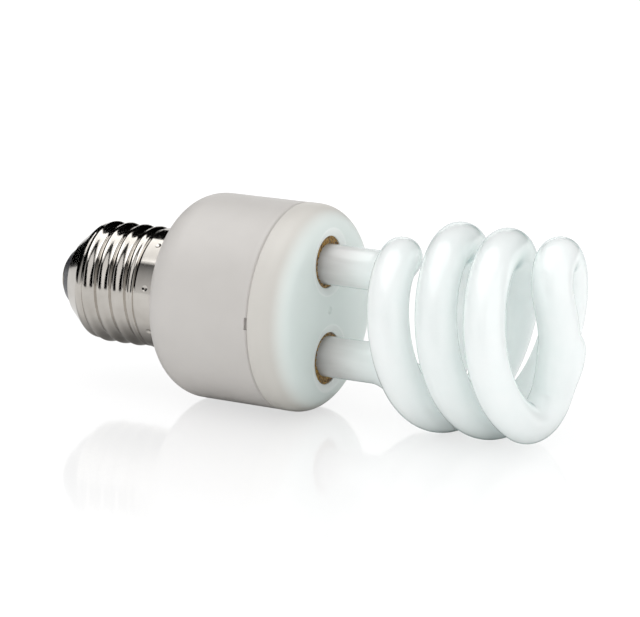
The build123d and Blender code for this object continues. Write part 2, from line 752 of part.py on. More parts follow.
def circuit_board():
    """Drawn after the components, so that every lead and pin has its hole."""
    board = rod(BOARD_RADIUS, BOARD_BOTTOM, BOARD_TOP)
    hole = LEAD_DIAMETER / 2 + LEAD_HOLE_FIT
    for place in lead_places:
        board -= rod(hole, BOARD_BOTTOM, BOARD_TOP, place)
    pin_hole = PIN_WIDTH + 2 * LEAD_HOLE_FIT
    for side in (-1, 1):
        for spread in (-PIN_SPREAD, PIN_SPREAD):
            size = (pin_hole, pin_hole, BOARD_THICKNESS)
            board -= block(size, BOARD_TOP, (side * LEG_RADIUS, spread))
    return board


pieces = {
    "glass_tube": glass_tube(),
    "tube_cement": tube_cement(),
    "tube_cover": tube_cover(),
    "ballast_case": ballast_case(),
    "screw_shell": screw_shell(),
    "cap_insulator": cap_insulator(),
    "centre_contact": centre_contact(),
    "contact_solder": contact_solder(),
    "choke_core": choke_core(),
    "choke_bobbin": choke_bobbin(),
    "choke_winding": choke_winding(),
    "toroid_core": toroid_core(),
    "toroid_windings": toroid_windings(),
    "smoothing_capacitor": smoothing_capacitor(),
    "resonant_capacitor": film_capacitor(RESONANT_SIZE, RESONANT_PLACE, 0),
    "blocking_capacitor": film_capacitor(BLOCKING_SIZE, BLOCKING_PLACE, 0),
    "starting_capacitor": film_capacitor(STARTING_SIZE, STARTING_PLACE, 1),
    "switching_transistors": switching_transistors(),
    "rectifier_diodes": rectifier_diodes(),
    "trigger_diac": trigger_diac(),
    "base_resistors": base_resistors(),
    "input_inductor": input_inductor(),
    "fuse_resistor": fuse_resistor(),
    "fuse_sleeve": fuse_sleeve(),
    "shell_wire": shell_wire(),
    "wrap_pins": wrap_pins(),
    "tube_leads": tube_leads(),
}
pieces["circuit_board"] = circuit_board()

# Laid on its side, the lamp rests on the housing and on the coil.
AXIS_HEIGHT = max(CASE_RADIUS, COVER_RADIUS, COIL_RADIUS + TUBE_RADIUS)
MIDDLE_Z = (TUBE_TOP_Z + CAP_TIP_Z) / 2
laid_down = Pos(-MIDDLE_Z, 0, AXIS_HEIGHT) * Rot(0, 90, 0)

os.makedirs("parts", exist_ok=True)
for name, piece in pieces.items():
    export_step(laid_down * piece, f"parts/{name}.step")
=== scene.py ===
import json
from math import acos, atan, ceil, cos, degrees, hypot, pi, radians, sin, tan

import bpy
from mathutils import Matrix, Quaternion, Vector


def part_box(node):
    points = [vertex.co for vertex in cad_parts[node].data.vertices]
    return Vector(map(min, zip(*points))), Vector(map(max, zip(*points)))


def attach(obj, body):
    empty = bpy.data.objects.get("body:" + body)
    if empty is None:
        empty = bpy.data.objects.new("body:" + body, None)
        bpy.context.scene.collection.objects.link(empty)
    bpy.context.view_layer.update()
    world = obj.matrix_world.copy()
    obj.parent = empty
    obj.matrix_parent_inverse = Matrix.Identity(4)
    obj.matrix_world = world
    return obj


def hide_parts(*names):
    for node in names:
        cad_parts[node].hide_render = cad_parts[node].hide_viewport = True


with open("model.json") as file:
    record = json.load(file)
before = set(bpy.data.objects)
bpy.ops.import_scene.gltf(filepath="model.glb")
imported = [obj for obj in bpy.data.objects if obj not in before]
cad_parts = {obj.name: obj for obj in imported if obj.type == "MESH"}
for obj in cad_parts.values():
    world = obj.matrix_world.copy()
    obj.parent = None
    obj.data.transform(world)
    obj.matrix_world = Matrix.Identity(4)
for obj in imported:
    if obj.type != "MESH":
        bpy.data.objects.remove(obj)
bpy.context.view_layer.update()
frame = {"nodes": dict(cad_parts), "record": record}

# Looks of the energy saving bulb. It lies on its side: X runs along the lamp from the cap to the
# coil, Z is up and the floor is at 0. Lengths are metres, those of the bulb are written as
# millimetres times MM, and angles are degrees.
MM = 0.001

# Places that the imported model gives
FRONT_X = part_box("tube_cover")[1].x
AXIS_Z = (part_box("tube_cover")[0].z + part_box("tube_cover")[1].z) / 2

# Glass tube, with the same bends as the solid
TUBE_RADIUS = 4.35 * MM
LEG_OFFSET = 10.0 * MM
LEG_RISE = 11.0 * MM
LEG_DEPTH = 6.0 * MM
BEND_REACH_LEG = 5.5 * MM
BEND_REACH_COIL = 7.0 * MM
ENTRY_RADIUS = 13.0 * MM
ENTRY_FROM = 15.0
ENTRY_TO = 67.0
COIL_RADIUS = 17.8 * MM
COIL_PITCH = 22.2 * MM
COIL_SLOPE = COIL_PITCH / (2 * pi * COIL_RADIUS)
COIL_START = 18.3 * MM
COIL_ANGLE = 510.0
EXIT_RADIUS = 6.3 * MM
BRIDGE_CROWN = 5.0 * MM

# Tip of the tube, a ball in the middle of the bridge with a long tail below
TIP_RADIUS = 4.9 * MM
TIP_SINK = 0.12 * MM
TIP_DROP = 2.0 * MM
TIP_LEAN = 1.6 * MM
TIP_STRETCH = 2.0
TIP_BLEND = 1.2 * MM

# Mesh of the tube
SPAN_ANGLE = 30.0
RINGS_PER_SPAN = 12
TUBE_ROUNDNESS = 20
MERGE_DISTANCE = 0.001 * MM
TUBE_SMOOTHING = 40

# Coating of the tube, thinner and darker towards the cover and full on the coil; the darkening on the
# legs is partly painted shade from the housing. A painted grey shade along the tube's edge stands in
# for its clear glass
COAT_AND_SHADE_FROM = 2.0 * MM
COAT_AND_SHADE_TO = 17.0 * MM
EDGE_SHADE_FROM = 0.68
EDGE_SHADE_TO = 0.94
LIGHT_DEPTH = 30.0 * MM

# Plastic of the case and the cover, with painted light on the cover's face and a painted highlight
# round its sockets
FLOW_MARKS = 14.0 * MM
FACE_LIGHT_BLEND = 3.0 * MM
# Painted highlight round the sockets, between these distances from their centres
COLLAR_HIGHLIGHT_INNER = 1.5 * MM
COLLAR_HIGHLIGHT_OUTER = 2.0 * MM

# Cement in the two sockets
SOCKET_RADIUS = 5.57 * MM
SOCKET_OFFSET = 10.45 * MM
CEMENT_TOP = 0.75 * MM
CEMENT_DEPTH = 4.4 * MM
CEMENT_SIDES = 160
CEMENT_RINGS = 9
CEMENT_LUMP = 0.55 * MM
CEMENT_RELIEF = 0.55 * MM
CEMENT_SMOOTHING = 50


# Finishes


def blank_finish(name, roughness, metallic=0.0):
    """New finish with one shader; its patterns are read in object coordinates."""
    material = bpy.data.materials.new(name)
    material.use_nodes = True
    tree = material.node_tree
    shader = tree.nodes["Principled BSDF"]
    shader.inputs["Roughness"].default_value = roughness
    shader.inputs["Metallic"].default_value = metallic
    place = tree.nodes.new("ShaderNodeTexCoord").outputs["Object"]
    return material, tree, shader, place


def mottle(tree, place, grain, detail=3.0):
    """Soft noise whose lumps are about one grain across."""
    noise = tree.nodes.new("ShaderNodeTexNoise")
    noise.inputs["Scale"].default_value = 1 / grain
    noise.inputs["Detail"].default_value = detail
    tree.links.new(place, noise.inputs["Vector"])
    return noise.outputs["Fac"]


def grains(tree, place, grain):
    """Packed grains, each about one grain across: their height and their own shade."""
    cells = tree.nodes.new("ShaderNodeTexVoronoi")
    cells.inputs["Scale"].default_value = 1 / grain
    tree.links.new(place, cells.inputs["Vector"])
    return cells.outputs["Distance"], cells.outputs["Color"]


def stretched(tree, place, scale):
    """Coordinates stretched, so that a pattern runs along one direction."""
    mapping = tree.nodes.new("ShaderNodeMapping")
    mapping.inputs["Scale"].default_value = scale
    tree.links.new(place, mapping.inputs["Vector"])
    return mapping.outputs["Vector"]


def shade(tree, pattern, dark, light, low=0.35, high=0.65):
    """Colour that runs from a darker to a lighter shade with a pattern."""
    ramp = tree.nodes.new("ShaderNodeValToRGB")
    first, last = ramp.color_ramp.elements
    first.position = low
    first.color = (*dark, 1)
    last.position = high
    last.color = (*light, 1)
    tree.links.new(pattern, ramp.inputs["Fac"])
    return ramp.outputs["Color"]


def colour(tree, shader, pattern, dark, light, low=0.35, high=0.65):
    """Base colour that runs from a darker to a lighter shade with a pattern."""
    tree.links.new(shade(tree, pattern, dark, light, low, high), shader.inputs["Base Color"])


def sheen_spread(tree, shader, pattern, smooth, rough, low=0.3, high=0.7):
    """Roughness that varies with a pattern."""
    spread = tree.nodes.new("ShaderNodeMapRange")
    spread.inputs["From Min"].default_value = low
    spread.inputs["From Max"].default_value = high
    spread.inputs["To Min"].default_value = smooth
    spread.inputs["To Max"].default_value = rough
    tree.links.new(pattern, spread.inputs["Value"])
    tree.links.new(spread.outputs["Result"], shader.inputs["Roughness"])


def relief(tree, shader, pattern, depth, strength):
    """Fine unevenness of a given depth."""
    bump = tree.nodes.new("ShaderNodeBump")
    bump.inputs["Distance"].default_value = depth
    bump.inputs["Strength"].default_value = strength
    tree.links.new(pattern, bump.inputs["Height"])
    tree.links.new(bump.outputs["Normal"], shader.inputs["Normal"])


def smooth_run(tree, value, start, stop):
    """Runs smoothly from 0 at a start value to 1 at a stop value."""
    run = tree.nodes.new("ShaderNodeMapRange")
    run.interpolation_type = "SMOOTHSTEP"
    run.inputs["From Min"].default_value = start
    run.inputs["From Max"].default_value = stop
    tree.links.new(value, run.inputs["Value"])
    return run.outputs["Result"]


def along_lamp(tree, place, start, stop):
    """Runs smoothly from 0 to 1 between two places along the lamp."""
    axes = tree.nodes.new("ShaderNodeSeparateXYZ")
    tree.links.new(place, axes.inputs["Vector"])
    return smooth_run(tree, axes.outputs["X"], start, stop)


def blended(tree, factor, first, second):
    """Colour that goes from a first to a second one with a factor."""
    mix = tree.nodes.new("ShaderNodeMix")
    mix.data_type = "RGBA"
    tree.links.new(factor, mix.inputs["Factor"])
    tree.links.new(first, mix.inputs["A"])
    tree.links.new(second, mix.inputs["B"])
    return mix.outputs["Result"]


def coated_glass():
    """Glass with a white powder inside, thinner and darker on the legs, partly with painted shade; a
    painted grey shade along its edge stands in for the clear glass.
    """
    material, tree, shader, place = blank_finish("coated_glass", 0.35)
    powder = mottle(tree, place, 6.0 * MM)
    streaks = mottle(tree, stretched(tree, place, (0.15, 1, 1)), 2.0 * MM)
    full = shade(tree, powder, (0.825, 0.940, 0.915), (0.850, 0.955, 0.930))
    # Thinner coating on the legs, also darkened with painted shade from the housing
    thin_coat_and_shade = shade(tree, streaks, (0.46, 0.450, 0.442), (0.52, 0.510, 0.502))
    # Painted shade: grey along the edge, where the clear glass would show
    edge_shade = shade(tree, powder, (0.30, 0.38, 0.38), (0.34, 0.42, 0.42))
    # Runs from the painted shade near the cover to the full coating on the coil
    coat_and_shade_run = along_lamp(tree, place, FRONT_X + COAT_AND_SHADE_FROM, FRONT_X + COAT_AND_SHADE_TO)
    slant = tree.nodes.new("ShaderNodeLayerWeight").outputs["Facing"]
    edge = smooth_run(tree, slant, EDGE_SHADE_FROM, EDGE_SHADE_TO)
    coat_and_shade = blended(tree, coat_and_shade_run, thin_coat_and_shade, full)
    tree.links.new(blended(tree, edge, coat_and_shade, edge_shade), shader.inputs["Base Color"])
    relief(tree, shader, mottle(tree, place, 9.0 * MM, 1.0), 0.05 * MM, 0.5)
    shader.inputs["Subsurface Weight"].default_value = 1.0
    shader.inputs["Subsurface Radius"].default_value = (1.0, 1.0, 1.0)
    shader.inputs["Subsurface Scale"].default_value = LIGHT_DEPTH
    shader.inputs["Coat Weight"].default_value = 0.7
    shader.inputs["Coat Roughness"].default_value = 0.1
    shader.inputs["Coat IOR"].default_value = 1.5
    return material


def cement():
    """Brown cement of packed grains."""
    material, tree, shader, place = blank_finish("cement", 0.4)
    height, speckle = grains(tree, place, 0.4 * MM)
    colour(tree, shader, speckle, (0.09, 0.04, 0.007), (0.42, 0.24, 0.05), 0.2, 0.8)
    sheen_spread(tree, shader, mottle(tree, place, 0.5 * MM), 0.25, 0.6)
    relief(tree, shader, height, 0.12 * MM, 0.8)
    return material


def moulded_plastic(name):
    """Satin moulded plastic with a fine grain, and the flow marks that its colour follows."""
    material, tree, shader, place = blank_finish(name, 0.42)
    sheen_spread(tree, shader, mottle(tree, place, 2.5 * MM), 0.36, 0.48)
    relief(tree, shader, mottle(tree, place, 0.22 * MM, 2.0), 0.012 * MM, 0.6)
    flow = mottle(tree, place, FLOW_MARKS)
    return material, tree, shader, place, flow


def case_plastic():
    material, tree, shader, _, flow = moulded_plastic("case_plastic")
    colour(tree, shader, flow, (0.519, 0.498, 0.476), (0.545, 0.524, 0.502))
    return material


def socket_highlight_mask(tree, place):
    """1 on the collars round the two tube sockets, where a highlight is painted, 0 on the rest of the
    face.
    """
    across = stretched(tree, place, (0, 1, 1))
    nearest = tree.nodes.new("ShaderNodeMath")
    nearest.operation = "MINIMUM"
    for index, side in enumerate((-1, 1)):
        away = tree.nodes.new("ShaderNodeVectorMath")
        away.operation = "DISTANCE"
        away.inputs[1].default_value = (0, 0, AXIS_Z + side * SOCKET_OFFSET)
        tree.links.new(across, away.inputs[0])
        tree.links.new(away.outputs["Value"], nearest.inputs[index])
    outer, inner = SOCKET_RADIUS + COLLAR_HIGHLIGHT_OUTER, SOCKET_RADIUS + COLLAR_HIGHLIGHT_INNER
    return smooth_run(tree, nearest.outputs["Value"], outer, inner)


def cover_plastic():
    """The case's plastic; the face that the tube stands on is paler and bluish with painted light from
    the tube, and paler still with a painted highlight round the sockets.
    """
    material, tree, shader, place, flow = moulded_plastic("cover_plastic")
    rim = shade(tree, flow, (0.570, 0.549, 0.513), (0.590, 0.569, 0.533))
    # Painted light: the face paler and bluish, as if lit through the tube
    face = shade(tree, flow, (0.735, 0.780, 0.760), (0.755, 0.800, 0.780))
    # Painted highlight on the dished collars round the sockets
    collar_highlight = shade(tree, flow, (0.85, 0.875, 0.860), (0.87, 0.895, 0.880))
    front = blended(tree, socket_highlight_mask(tree, place), face, collar_highlight)
    # Runs from the rim's own colour to the painted light of the face
    painted_face_light = along_lamp(tree, place, FRONT_X - FACE_LIGHT_BLEND, FRONT_X)
    tree.links.new(blended(tree, painted_face_light, rim, front), shader.inputs["Base Color"])
    return material


def nickel():
    """Bright plate with fine rolling lines round the cap and a little tarnish."""
    material, tree, shader, place = blank_finish("nickel", 0.1, 1.0)
    colour(tree, shader, mottle(tree, place, 5.0 * MM), (0.56, 0.53, 0.49), (0.64, 0.61, 0.57))
    lines = mottle(tree, stretched(tree, place, (1, 0.04, 0.04)), 0.12 * MM)
    sheen_spread(tree, shader, lines, 0.07, 0.16)
    relief(tree, shader, lines, 0.003 * MM, 0.3)
    return material


def black_glass():
    """Black insulator, softly glossy and slightly uneven."""
    material, tree, shader, place = blank_finish("black_glass", 0.12)
    colour(tree, shader, mottle(tree, place, 3.0 * MM), (0.008, 0.008, 0.014), (0.018, 0.018, 0.03))
    sheen_spread(tree, shader, mottle(tree, place, 1.2 * MM), 0.18, 0.34)
    relief(tree, shader, mottle(tree, place, 1.6 * MM, 1.0), 0.03 * MM, 0.4)
    shader.inputs["Specular IOR Level"].default_value = 0.3
    return material


def metal(name, dark, light, smooth, rough, grain):
    """Worn metal: stained in patches, with a fine uneven surface."""
    material, tree, shader, place = blank_finish(name, rough, 1.0)
    colour(tree, shader, mottle(tree, place, grain), dark, light)
    sheen_spread(tree, shader, mottle(tree, place, grain / 3), smooth, rough)
    relief(tree, shader, mottle(tree, place, grain / 6), 0.01 * MM, 0.6)
    return material


def matte_body(name, dark, light, rough, grain, depth):
    """Dull component body: speckled colour and a slightly rough skin."""
    material, tree, shader, place = blank_finish(name, rough)
    colour(tree, shader, mottle(tree, place, grain), dark, light)
    sheen_spread(tree, shader, mottle(tree, place, 4 * grain), rough - 0.08, rough + 0.08)
    relief(tree, shader, mottle(tree, place, grain / 2), depth, 0.7)
    return material


def dipped_body(name, dark, light, grain):
    """Glossy dipped or lacquered body with the uneven skin that dipping leaves."""
    material, tree, shader, place = blank_finish(name, 0.2)
    colour(tree, shader, mottle(tree, place, 3 * grain), dark, light)
    sheen_spread(tree, shader, mottle(tree, place, grain), 0.12, 0.3)
    relief(tree, shader, mottle(tree, place, grain, 1.0), 0.06 * MM, 0.6)
    shader.inputs["Coat Weight"].default_value = 0.6
    shader.inputs["Coat Roughness"].default_value = 0.1
    return material


def enamelled_copper():
    """Enamelled wire laid side by side along the lamp; painted shade darkens the grooves between the
    turns.
    """
    material, tree, shader, place = blank_finish("enamelled_copper", 0.3, 0.8)
    turns = tree.nodes.new("ShaderNodeTexWave")
    turns.bands_direction = "X"
    turns.inputs["Scale"].default_value = 1 / (4 * MM)
    turns.inputs["Distortion"].default_value = 0.6
    tree.links.new(place, turns.inputs["Vector"])
    ridges_and_groove_shade = turns.outputs["Fac"]
    # Painted shade: darker in the grooves between the turns, lighter on their tops
    colour(tree, shader, ridges_and_groove_shade, (0.30, 0.08, 0.025), (0.55, 0.20, 0.08), 0.1, 0.9)
    sheen_spread(tree, shader, mottle(tree, place, 1.5 * MM), 0.22, 0.4)
    relief(tree, shader, ridges_and_groove_shade, 0.1 * MM, 0.8)
    return material


def board_laminate():
    """Brown paper laminate with its fibres showing."""
    material, tree, shader, place = blank_finish("board_laminate", 0.6)
    fibres = mottle(tree, stretched(tree, place, (1, 0.25, 1)), 0.5 * MM, 6.0)
    colour(tree, shader, fibres, (0.24, 0.13, 0.045), (0.36, 0.21, 0.08))
    sheen_spread(tree, shader, mottle(tree, place, 3.0 * MM), 0.5, 0.68)
    relief(tree, shader, fibres, 0.02 * MM, 0.5)
    return material


def fibre_sleeve():
    """Woven glass-fibre sleeve: two crossing sets of threads."""
    material, tree, shader, place = blank_finish("fibre_sleeve", 0.75)
    weave = tree.nodes.new("ShaderNodeTexChecker")
    weave.inputs["Scale"].default_value = 1 / (0.6 * MM)
    tree.links.new(place, weave.inputs["Vector"])
    colour(tree, shader, mottle(tree, place, 0.6 * MM), (0.62, 0.60, 0.52), (0.76, 0.74, 0.67))
    sheen_spread(tree, shader, mottle(tree, place, 2.0 * MM), 0.68, 0.82)
    relief(tree, shader, weave.outputs["Fac"], 0.06 * MM, 0.6)
    return material


finishes = {
    "coated_glass": coated_glass(),
    "cement": cement(),
    "cover_plastic": cover_plastic(),
    "case_plastic": case_plastic(),
    "nickel": nickel(),
    "black_glass": black_glass(),
    "contact_brass": metal(
        "contact_brass", (0.50, 0.44, 0.34), (0.66, 0.61, 0.51), smooth=0.22, rough=0.42, grain=1.5 * MM
    ),
    "solder": metal(
        "solder", (0.38, 0.38, 0.39), (0.52, 0.52, 0.53), smooth=0.3, rough=0.55, grain=0.6 * MM
    ),
    "tinned_metal": metal(
        "tinned_metal", (0.55, 0.55, 0.55), (0.69, 0.69, 0.69), smooth=0.2, rough=0.4, grain=0.8 * MM
    ),
    "enamelled_copper": enamelled_copper(),
    "board_laminate": board_laminate(),
    "fibre_sleeve": fibre_sleeve(),
    "ferrite": matte_body(
        "ferrite", (0.025, 0.025, 0.03), (0.05, 0.05, 0.055), rough=0.6, grain=0.3 * MM, depth=0.02 * MM
    ),
    "bobbin_plastic": matte_body(
        "bobbin_plastic", (0.022,) * 3, (0.04,) * 3, rough=0.5, grain=0.5 * MM, depth=0.015 * MM
    ),
    "black_epoxy": matte_body(
        "black_epoxy", (0.014,) * 3, (0.028,) * 3, rough=0.55, grain=0.25 * MM, depth=0.02 * MM
    ),
    "wire_insulation": matte_body(
        "wire_insulation",
        (0.58, 0.04, 0.022),
        (0.72, 0.06, 0.036),
        rough=0.45,
        grain=0.4 * MM,
        depth=0.01 * MM,
    ),
    "capacitor_sleeve": dipped_body(
        "capacitor_sleeve", (0.013, 0.02, 0.06), (0.028, 0.042, 0.10), grain=1.5 * MM
    ),
    "film_coating": dipped_body(
        "film_coating", (0.29, 0.045, 0.014), (0.41, 0.08, 0.03), grain=0.9 * MM
    ),
    "diac_glass": dipped_body(
        "diac_glass", (0.07, 0.14, 0.34), (0.13, 0.22, 0.46), grain=0.6 * MM
    ),
    "resistor_lacquer": dipped_body(
        "resistor_lacquer", (0.49, 0.35, 0.18), (0.61, 0.45, 0.26), grain=0.7 * MM
    ),
}

for subpart in frame["record"]["subparts"]:
    node = frame["nodes"][subpart["node"]]
    for slot in node.material_slots:
        slot.material = finishes[subpart["material_slot"]]


# Modelling by hand


def deselect_all():
    bpy.ops.object.select_all(action="DESELECT")


def on_lamp(x, y, z):
    """Place on the standing lamp, measured from the cover's front, as a place on the lying one."""
    return Vector((FRONT_X + z, y, AXIS_Z - x))


def settle(piece, name, slot):
    """Applies the place to the mesh, names the piece and gives it its finish and its body."""
    deselect_all()
    piece.select_set(True)
    bpy.context.view_layer.objects.active = piece
    bpy.ops.object.transform_apply(location=True, rotation=True, scale=True)
    piece.name = name
    piece.data.name = name
    piece.data.materials.clear()
    piece.data.materials.append(finishes[slot])
    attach(piece, "root")
    return piece


# Glass tube: a chain of curve spans, each a start, two handles and a stop


def straight(start, stop):
    third = (stop - start) / 3
    return [(start, start + third, stop - third, stop)]


def spiral(radius, start, stop, height, tangent_at):
    """Spans of a spiral between two angles; it touches the coil's circle from inside at one angle."""
    inset = COIL_RADIUS - radius
    centre = Vector((inset * cos(radians(tangent_at)), inset * sin(radians(tangent_at)), height))
    count = ceil((stop - start) / SPAN_ANGLE)
    step = radians(stop - start) / count
    rise = radius * COIL_SLOPE * step
    pull = radius * 4 / 3 * tan(step / 4)
    knots = []
    for index in range(count + 1):
        angle = radians(start) + step * index
        place = centre + Vector((radius * cos(angle), radius * sin(angle), rise * index))
        handle = Vector((-pull * sin(angle), pull * cos(angle), rise / 3))
        knots.append((place, handle))
    return [(a, a + lead, b - trail, b) for (a, lead), (b, trail) in zip(knots, knots[1:])]


def tube_half():
    """Spans of half the tube, on the standing lamp: leg, bend, coil and half the bridge."""
    foot = Vector((LEG_OFFSET, 0, -LEG_DEPTH))
    knee = Vector((LEG_OFFSET, 0, LEG_RISE))
    leg = straight(foot, knee)

    join_z = COIL_START + COIL_PITCH * ENTRY_TO / 360
    entry_z = join_z - COIL_SLOPE * ENTRY_RADIUS * radians(ENTRY_TO - ENTRY_FROM)
    entry = spiral(ENTRY_RADIUS, ENTRY_FROM, ENTRY_TO, entry_z, ENTRY_TO)
    coil = spiral(COIL_RADIUS, ENTRY_TO, COIL_ANGLE, join_z, 0)
    turn = 180 - degrees(acos(EXIT_RADIUS / (COIL_RADIUS - EXIT_RADIUS)))
    exit_z = COIL_START + COIL_PITCH * COIL_ANGLE / 360
    leave = spiral(EXIT_RADIUS, COIL_ANGLE, COIL_ANGLE + turn, exit_z, COIL_ANGLE)

    landing = entry[0][0]
    into_coil = (entry[0][1] - landing).normalized()
    from_leg = knee + Vector((0, 0, BEND_REACH_LEG))
    bend = [(knee, from_leg, landing - into_coil * BEND_REACH_COIL, landing)]

    start = leave[-1][3]
    heading = (start - leave[-1][2]).normalized()
    climb = atan(COIL_SLOPE)
    crown = start + heading * ((hypot(start.x, start.y) - BRIDGE_CROWN) / cos(climb))
    middle = Vector((0, 0, crown.z + BRIDGE_CROWN * tan(climb / 2)))
    pull = (middle - crown).length / 3
    level = Vector((heading.x, heading.y, 0)).normalized()
    arch = [(crown, crown + heading * pull, middle - level * pull, middle)]
    return leg + bend + entry + coil + leave + straight(start, crown) + arch


def round_tube(spans):
    """Closed tube drawn along the spans and made a mesh."""
    deselect_all()
    bpy.ops.curve.primitive_bezier_curve_add()
    curve = bpy.context.object.data
    line = curve.splines[0]
    line.bezier_points.add(len(spans) + 1 - len(line.bezier_points))
    for knot in line.bezier_points:
        knot.handle_left_type = "FREE"
        knot.handle_right_type = "FREE"
    for index, (start, lead, trail, stop) in enumerate(spans):
        before = line.bezier_points[index]
        after = line.bezier_points[index + 1]
        before.co = on_lamp(*start)
        before.handle_right = on_lamp(*lead)
        after.handle_left = on_lamp(*trail)
        after.co = on_lamp(*stop)
    curve.resolution_u = RINGS_PER_SPAN
    curve.bevel_depth = TUBE_RADIUS
    curve.bevel_resolution = TUBE_ROUNDNESS
    curve.use_fill_caps = True
    bpy.ops.object.convert(target="MESH")
    bpy.ops.object.mode_set(mode="EDIT")
    bpy.ops.mesh.select_all(action="SELECT")
    bpy.ops.mesh.remove_doubles(threshold=MERGE_DISTANCE)
    bpy.ops.mesh.normals_make_consistent(inside=False)
    bpy.ops.object.mode_set(mode="OBJECT")
    return bpy.context.object


def swell_tip(mesh, centre):
    """Blows the middle of the bridge out to a ball with a long tail below, smooth into the tube."""
    for vertex in mesh.vertices:
        reach = vertex.co - centre
        if reach.z < 0:
            reach.z /= TIP_STRETCH
        short = TIP_RADIUS - reach.length
        if abs(short) < TIP_BLEND:
            grown = (short + TIP_BLEND) ** 2 / (4 * TIP_BLEND)
        else:
            grown = max(short, 0)
        vertex.co += reach.normalized() * grown


def glass_tube():
    """The second half of the tube is the first one turned by half a turn round the lamp's axis."""
    half = tube_half()
    half_turn = Matrix.Rotation(pi, 3, "Z")
    other = [tuple(half_turn @ point for point in reversed(span)) for span in reversed(half)]
    piece = round_tube(half + other)
    bridge_top = half[-1][3].z
    swell_tip(piece.data, on_lamp(TIP_DROP, TIP_LEAN, bridge_top - TIP_SINK))
    bpy.ops.object.shade_smooth_by_angle(angle=radians(TUBE_SMOOTHING))
    settle(piece, "blown_tube", "coated_glass")
    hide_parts("glass_tube")


glass_tube()


# Cement


def cement_ring(side):
    """Ring of cement between a leg and its socket; its front is the vertex group face."""
    deselect_all()
    centre = on_lamp(side * SOCKET_OFFSET, 0, -CEMENT_TOP)
    inward = (on_lamp(side * LEG_OFFSET, 0, -CEMENT_TOP) - centre) / CEMENT_RINGS
    narrowing = (SOCKET_RADIUS - TUBE_RADIUS) / CEMENT_RINGS
    bpy.ops.mesh.primitive_circle_add(
        vertices=CEMENT_SIDES, radius=SOCKET_RADIUS, location=centre, rotation=(0, radians(90), 0)
    )
    bead = bpy.context.object
    bpy.ops.object.transform_apply(location=True, rotation=True, scale=True)
    bpy.ops.object.mode_set(mode="EDIT")
    bpy.ops.mesh.select_all(action="SELECT")
    for ring in range(CEMENT_RINGS):
        radius = SOCKET_RADIUS - narrowing * ring
        shrink = 1 - narrowing / radius
        middle = centre + inward * (ring + 1)
        bpy.ops.mesh.extrude_edges_move(TRANSFORM_OT_translate={"value": inward})
        bpy.ops.transform.resize(value=(shrink, shrink, shrink), center_override=middle)
    bpy.ops.object.mode_set(mode="OBJECT")
    group = bead.vertex_groups.new(name="face")
    group.add([vertex.index for vertex in bead.data.vertices], 1.0, "REPLACE")
    bpy.ops.object.mode_set(mode="EDIT")
    bpy.ops.mesh.select_all(action="SELECT")
    bpy.ops.mesh.extrude_region_move(TRANSFORM_OT_translate={"value": (-CEMENT_DEPTH, 0, 0)})
    bpy.ops.object.vertex_group_remove_from()
    bpy.ops.mesh.select_all(action="SELECT")
    bpy.ops.mesh.normals_make_consistent(inside=False)
    bpy.ops.object.mode_set(mode="OBJECT")
    return bead


def break_up(bead):
    """Breaks the front of a bead up into lumps."""
    lumps = bpy.data.textures.new("cement_lumps", "CLOUDS")
    lumps.noise_scale = CEMENT_LUMP
    lumps.noise_depth = 3
    rough = bead.modifiers.new("lumps", "DISPLACE")
    rough.texture = lumps
    rough.texture_coords = "GLOBAL"
    rough.vertex_group = "face"
    rough.direction = "X"
    rough.mid_level = 0.5
    rough.strength = CEMENT_RELIEF
    bpy.ops.object.modifier_apply(modifier="lumps")
    bpy.ops.object.shade_smooth_by_angle(angle=radians(CEMENT_SMOOTHING))


def tube_cement():
    beads = []
    for side in (-1, 1):
        bead = cement_ring(side)
        break_up(bead)
        beads.append(bead)
    deselect_all()
    for bead in beads:
        bead.select_set(True)
    bpy.context.view_layer.objects.active = beads[0]
    bpy.ops.object.join()
    piece = settle(bpy.context.object, "cement_beads", "cement")
    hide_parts("tube_cement")


tube_cement()


# Floor, light and camera

# Floor as the camera sees it, as it lights the bulb, and as metal and glass mirror it
FLOOR_SIZE = 12.0
FLOOR_SHADOW = 0.15
FLOOR_GLOW = 0.93
FLOOR_BOUNCE = 0.9
MIRRORED_SHADOW = 0.71
MIRRORED_GLOW = 0.05

# Painted contact shadow: the floor darker close under the bulb, as metal and glass mirror it
CONTACT_SHADOW_GREY = 0.05
CONTACT_SHADOW_REACH = (0.15, 0.022)

# Mirror image of the bulb in the floor
MIRROR_ROUGHNESS = 0.08
MIRROR_REACH = (0.21, 0.16)
MIRROR_IOR = 1.9

WORLD_LIGHT = 0.99
LAMP_SIZE = 0.8
COOL_WHITE = (0.93, 1.0, 1.0)
COOLER_WHITE = (0.90, 1.0, 0.99)

# Camera, fitted to the photograph
CAMERA_DISTANCE = 1055.5 * MM
CAMERA_AZIMUTH = 28.56
CAMERA_ELEVATION = 13.39
CAMERA_ROLL = 0.69
CAMERA_LENS = 281.25
CAMERA_SENSOR = 36
AIM_BACK = 2.40 * MM
AIM_RISE = 0.14 * MM

# Cards round the bulb: the glow of their lower and their upper edge, and where they stand
BLACK = (0.0, 0.0)
BEHIND = CAMERA_AZIMUTH + 180
BACK_CARD_TURN = 48.5
BACK_CARD_DISTANCE = 1.0
FRONT_CARD_DISTANCE = 1.2
FRONT_CARD_TOP = 1.28
TOP_CARD_Y = -0.25
TOP_CARD_Z = 1.3
TOP_CARD_DEPTH = 1.75
CARD_EDGE = 0.5


def highest(tree, first, second):
    """The higher one of two values."""
    higher = tree.nodes.new("ShaderNodeMath")
    higher.operation = "MAXIMUM"
    tree.links.new(first, higher.inputs[0])
    tree.links.new(second, higher.inputs[1])
    return higher.outputs["Value"]


